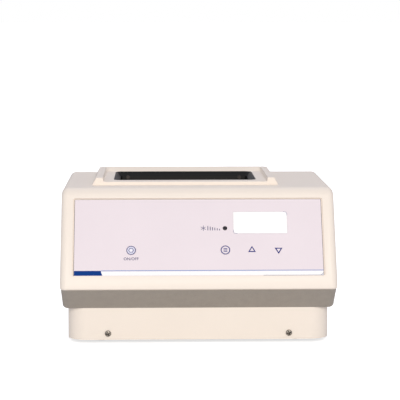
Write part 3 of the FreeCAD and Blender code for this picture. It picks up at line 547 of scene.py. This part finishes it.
def printWord():
    # A line of type made a mesh, then laid on the slope under the power key.
    curve = bpy.data.curves.new("keyWord", "FONT")
    curve.body = wording["text"]
    curve.size = wording["size"]
    curve.offset = wording["stroke"]
    curve.align_x = "CENTER"
    curve.align_y = "CENTER"
    curve.extrude = wording["thickness"]
    holder = bpy.data.objects.new("keyWordCurve", curve)
    bpy.context.scene.collection.objects.link(holder)
    bpy.context.view_layer.update()
    mesh = bpy.data.meshes.new_from_object(holder.evaluated_get(bpy.context.evaluated_depsgraph_get()))
    bpy.data.objects.remove(holder)
    points = np.zeros(len(mesh.vertices) * 3)
    mesh.vertices.foreach_get("co", points)
    points = points.reshape(-1, 3)
    centre, top = panelSpot("power_key")
    flat = points[:, :2] + centre - np.array([0, wording["drop"]])
    mesh.vertices.foreach_set("co", onPanel(flat, points[:, 2] + wording["lift"]).ravel())
    piece = bpy.data.objects.new("keyWord", mesh)
    bpy.context.scene.collection.objects.link(piece)
    finishPiece(piece, "instrument", inks["wordInk"])


coolSign = dict(flakeShift=0.0233, lines=3, tilt=math.pi / 6, arm=0.0030, armWidth=0.0006,
                armLift=0.00001, bars=6, barShift=0.0184, barPitch=0.0025, barWidth=0.0009,
                tallest=0.0050, shortest=0.0018, steps=6)


def printCoolSign():
    # A flake with six arms and a row of falling bars: a plain sign for cooling, beside the lamp.
    (x, y), top = panelSpot("cooling_lamp")
    centre = np.array([x - coolSign["flakeShift"], y])
    for arm in range(coolSign["lines"]):
        angle = math.pi / coolSign["lines"] * arm + coolSign["tilt"]
        along = np.array([math.cos(angle), math.sin(angle)])
        run = centre + np.linspace(-1, 1, coolSign["steps"])[:, None] * along * coolSign["arm"]
        lowEdge, highEdge = lineEdges(run, coolSign["armWidth"])
        inkBetween(f"coolSignArm{arm}", lowEdge, highEdge, "instrument", inks["wordInk"],
                   coolSign["armLift"] * arm)
    foot = y - coolSign["tallest"] / 2
    for bar, height in enumerate(np.linspace(coolSign["tallest"], coolSign["shortest"], coolSign["bars"])):
        middle = x - coolSign["barShift"] + bar * coolSign["barPitch"]
        rise = np.linspace(0, 1, coolSign["steps"])[:, None] * np.array([[0, height]])
        run = np.array([[middle, foot]]) + rise
        lowEdge, highEdge = lineEdges(run, coolSign["barWidth"])
        inkBetween(f"coolSignBar{bar}", lowEdge, highEdge, "instrument", inks["wordInk"])


printStripe()
paintSheetGapShade()
printWindowCorners()
printKeys()
printWord()
printCoolSign()
print("panel printed")


crossShape = dict(count=45, fall=0.45, fallPower=4, arm=0.17, reach=0.66, wall=0.08, depth=1.1, rim=1.15,
                  turn=20, deep=0.5, deepCorners=3, sharpAngle=35)


def crossHead(name, centre, outAxis, radius, height, body, material):
    # A dome over a square grid bent into a disc; a cross of two grooves is pressed into its middle.
    # The bottom of the cross gets a much darker steel, which is painted shade in the recess.
    count = crossShape["count"]
    line = np.linspace(-1, 1, count)
    u, v = np.meshgrid(line, line, indexing="ij")
    x = u * np.sqrt(1 - v * v / 2)
    y = v * np.sqrt(1 - u * u / 2)
    r = np.hypot(x, y)
    dome = height * (1 - crossShape["fall"] * r ** crossShape["fallPower"])
    arm, reach = crossShape["arm"], crossShape["reach"]
    level = np.maximum(np.abs(x) - arm, np.abs(y) - reach)
    upright = np.maximum(np.abs(y) - arm, np.abs(x) - reach)
    pressed = np.clip(-np.minimum(level, upright) / crossShape["wall"], 0, 1)
    dome = dome - pressed * crossShape["depth"] * height * np.clip(crossShape["rim"] - r, 0, 1)
    outAxis = Vector(outAxis).normalized()
    side = Vector((0, 0, 1)).cross(outAxis).normalized()
    upward = outAxis.cross(side)
    turn = math.radians(crossShape["turn"])
    a = np.cos(turn) * x - np.sin(turn) * y
    b = np.sin(turn) * x + np.cos(turn) * y
    flatPlace = radius * (a[..., None] * np.array(side) + b[..., None] * np.array(upward))
    points = np.array(centre) + flatPlace + dome[..., None] * np.array(outAxis)
    rim = np.concatenate([np.arange(count), np.arange(1, count) * count + count - 1,
                          (count - 1) * count + np.arange(count - 2, -1, -1),
                          np.arange(count - 2, 0, -1) * count])
    flat = points.reshape(-1, 3)
    rise = (flat[rim] - np.array(centre)) @ np.array(outAxis)
    skirt = flat[rim] - np.outer(rise, np.array(outAxis))
    total = len(flat)
    ring = np.arange(len(rim))
    following = (ring + 1) % len(rim)
    walls = np.stack([rim[ring], rim[following], total + following, total + ring], -1)
    faces = gridFaces(count, count).tolist() + walls.tolist() + [(total + ring).tolist()]
    piece = outward(linkMesh(name, np.concatenate([flat, skirt]), faces))
    finishPiece(piece, body, material, smoothAngle=crossShape["sharpAngle"])
    # the second slot holds the painted shade of the cross's bottom
    piece.data.materials.append(recessShadeSteel)
    deep = pressed.ravel() > crossShape["deep"]
    shadedCells = deep[gridFaces(count, count)].sum(-1) >= crossShape["deepCorners"]
    slots = np.zeros(len(piece.data.polygons), int)
    slots[:len(shadedCells)] = shadedCells
    piece.data.polygons.foreach_set("material_index", slots.tolist())
    return piece


def joinPieces(name, pieces):
    first = pieces[0]
    with bpy.context.temp_override(active_object=first, selected_editable_objects=pieces, object=first):
        bpy.ops.object.join()
    first.name = name
    return first


def looseBoxes(node):
    # The box of each separate solid in a node, sorted by place, because a set has no fixed order.
    tool = bmesh.new()
    tool.from_mesh(nodes[node].data)
    bmesh.ops.remove_doubles(tool, verts=tool.verts, dist=mergeGap["loaded"])
    left, boxes = set(tool.verts), []
    while left:
        stack, island = [left.pop()], []
        while stack:
            vertex = stack.pop()
            island.append(vertex.co.copy())
            for edge in vertex.link_edges:
                other = edge.other_vert(vertex)
                if other in left:
                    left.remove(other)
                    stack.append(other)
        places = np.array(island)
        boxes.append((places.min(0), places.max(0)))
    tool.free()
    return sorted(boxes, key=lambda box: tuple(box[0]))


headHeights = dict(base_screws=0.0020, inlet_screws=0.0006)


def dressScrews(node, name):
    # Each head is as wide as its screw's box, and faces out of the nearer of front and back.
    middleY = (cadBox[0][1] + cadBox[1][1]) / 2
    height = headHeights[node]
    heads = []
    for number, (low, high) in enumerate(looseBoxes(node)):
        middle, radius = (low + high) / 2, (high[0] - low[0]) / 2
        inFront = middle[1] < middleY
        seat = low[1] + height if inFront else high[1] - height
        out = (0, -1, 0) if inFront else (0, 1, 0)
        heads.append(crossHead(f"{name}{number}", (middle[0], seat, middle[2]), out, radius, height,
                               bodyOf[node], materials["screw_steel"]))
    joined = joinPieces(name, heads)
    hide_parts(node)


dressScrews("base_screws", "baseScrewHeads")
dressScrews("inlet_screws", "inletScrewHeads")
print("screws dressed")


floorLook = dict(size=60.0, count=9, below=0.00005, colour=(0.8, 0.8, 0.8, 1.0), roughness=0.9, specular=0.1,
                 glow=(1.0, 1.0, 1.0, 1.0), paper=0.68)


def layFloor():
    # A wide flat grid under the feet.
    count = floorLook["count"]
    line = np.linspace(-floorLook["size"], floorLook["size"], count)
    x, y = np.meshgrid(line, line, indexing="ij")
    points = np.stack([x, y, np.full_like(x, cadBox[0][2] - floorLook["below"])], -1)
    floor = linkMesh("floor", points, gridFaces(count, count)[:, ::-1])
    material = bpy.data.materials.new("floorPaper")
    material.use_nodes = True
    tree = material.node_tree
    shader = tree.nodes["Principled BSDF"]
    shader.inputs["Base Color"].default_value = floorLook["colour"]
    shader.inputs["Roughness"].default_value = floorLook["roughness"]
    shader.inputs["Specular IOR Level"].default_value = floorLook["specular"]
    seen = addNode(tree, "ShaderNodeLightPath")  # the paper looks white, but lights the object softly
    shader.inputs["Emission Color"].default_value = floorLook["glow"]
    tree.links.new(mathNode(tree, "MULTIPLY", seen.outputs["Is Camera Ray"], floorLook["paper"]),
                   shader.inputs["Emission Strength"])
    floor.data.materials.append(material)


def areaLight(name, place, aim, size, power, colour):
    light = bpy.data.lights.new(name, "AREA")
    light.shape = "RECTANGLE"
    light.size, light.size_y = size
    light.energy = power
    light.color = colour
    holder = bpy.data.objects.new(name, light)
    bpy.context.scene.collection.objects.link(holder)
    holder.location = place
    holder.rotation_euler = (Vector(aim) - Vector(place)).to_track_quat("-Z", "Y").to_euler()
    return holder


lights = dict(
    aim=(0, 0, 0.08),
    front=dict(place=(0.05, -3.2, 1.35), size=(2.4, 1.4), power=68, colour=(1.0, 0.945, 0.87)),
    top=dict(place=(0.0, 1.6, 1.9), size=(2.0, 1.0), power=8, colour=(0.94, 0.91, 1.0)),
    back=dict(place=(0.2, 3.2, 0.7), size=(2.4, 1.0), power=22, colour=(1.0, 0.96, 0.9), glossy=False),
    world=dict(strength=0.54, colour=(0.9, 0.91, 1.0, 1.0), paper=(1.0, 1.0, 1.0, 1.0)),
)


def lightRoom():
    for name in ("front", "top", "back"):
        look = lights[name]
        lamp = areaLight(name + "Light", look["place"], lights["aim"], look["size"], look["power"],
                         look["colour"])
        lamp.visible_glossy = look.get("glossy", True)
    world = bpy.data.worlds.new("paleRoom")
    bpy.context.scene.world = world
    world.use_nodes = True
    tree = world.node_tree
    look = lights["world"]
    background = tree.nodes["Background"]
    background.inputs["Color"].default_value = look["colour"]
    background.inputs["Strength"].default_value = look["strength"]
    paper = addNode(tree, "ShaderNodeBackground")  # seen behind the object, brighter than the light
    paper.inputs["Color"].default_value = look["paper"]
    seen = addNode(tree, "ShaderNodeLightPath")
    mix = addNode(tree, "ShaderNodeMixShader")
    tree.links.new(seen.outputs["Is Camera Ray"], mix.inputs["Fac"])
    tree.links.new(background.outputs["Background"], mix.inputs[1])
    tree.links.new(paper.outputs["Background"], mix.inputs[2])
    tree.links.new(mix.outputs["Shader"], tree.nodes["World Output"].inputs["Surface"])


view = dict(lens=146.24, sensor=36, reach=200, place=(-0.0441, -1.8210, 0.3524), pitch=6.54, yaw=1.52)


def placeCamera():
    camera = bpy.data.cameras.new("viewCamera")
    camera.lens = view["lens"]
    camera.sensor_width = view["sensor"]
    camera.clip_end = view["reach"]
    holder = bpy.data.objects.new("viewCamera", camera)
    bpy.context.scene.collection.objects.link(holder)
    holder.location = view["place"]
    holder.rotation_euler = (math.radians(90 - view["pitch"]), 0, math.radians(-view["yaw"]))
    bpy.context.scene.camera = holder
    bpy.context.scene.view_settings.view_transform = "Standard"


layFloor()
lightRoom()
placeCamera()
print("room set")
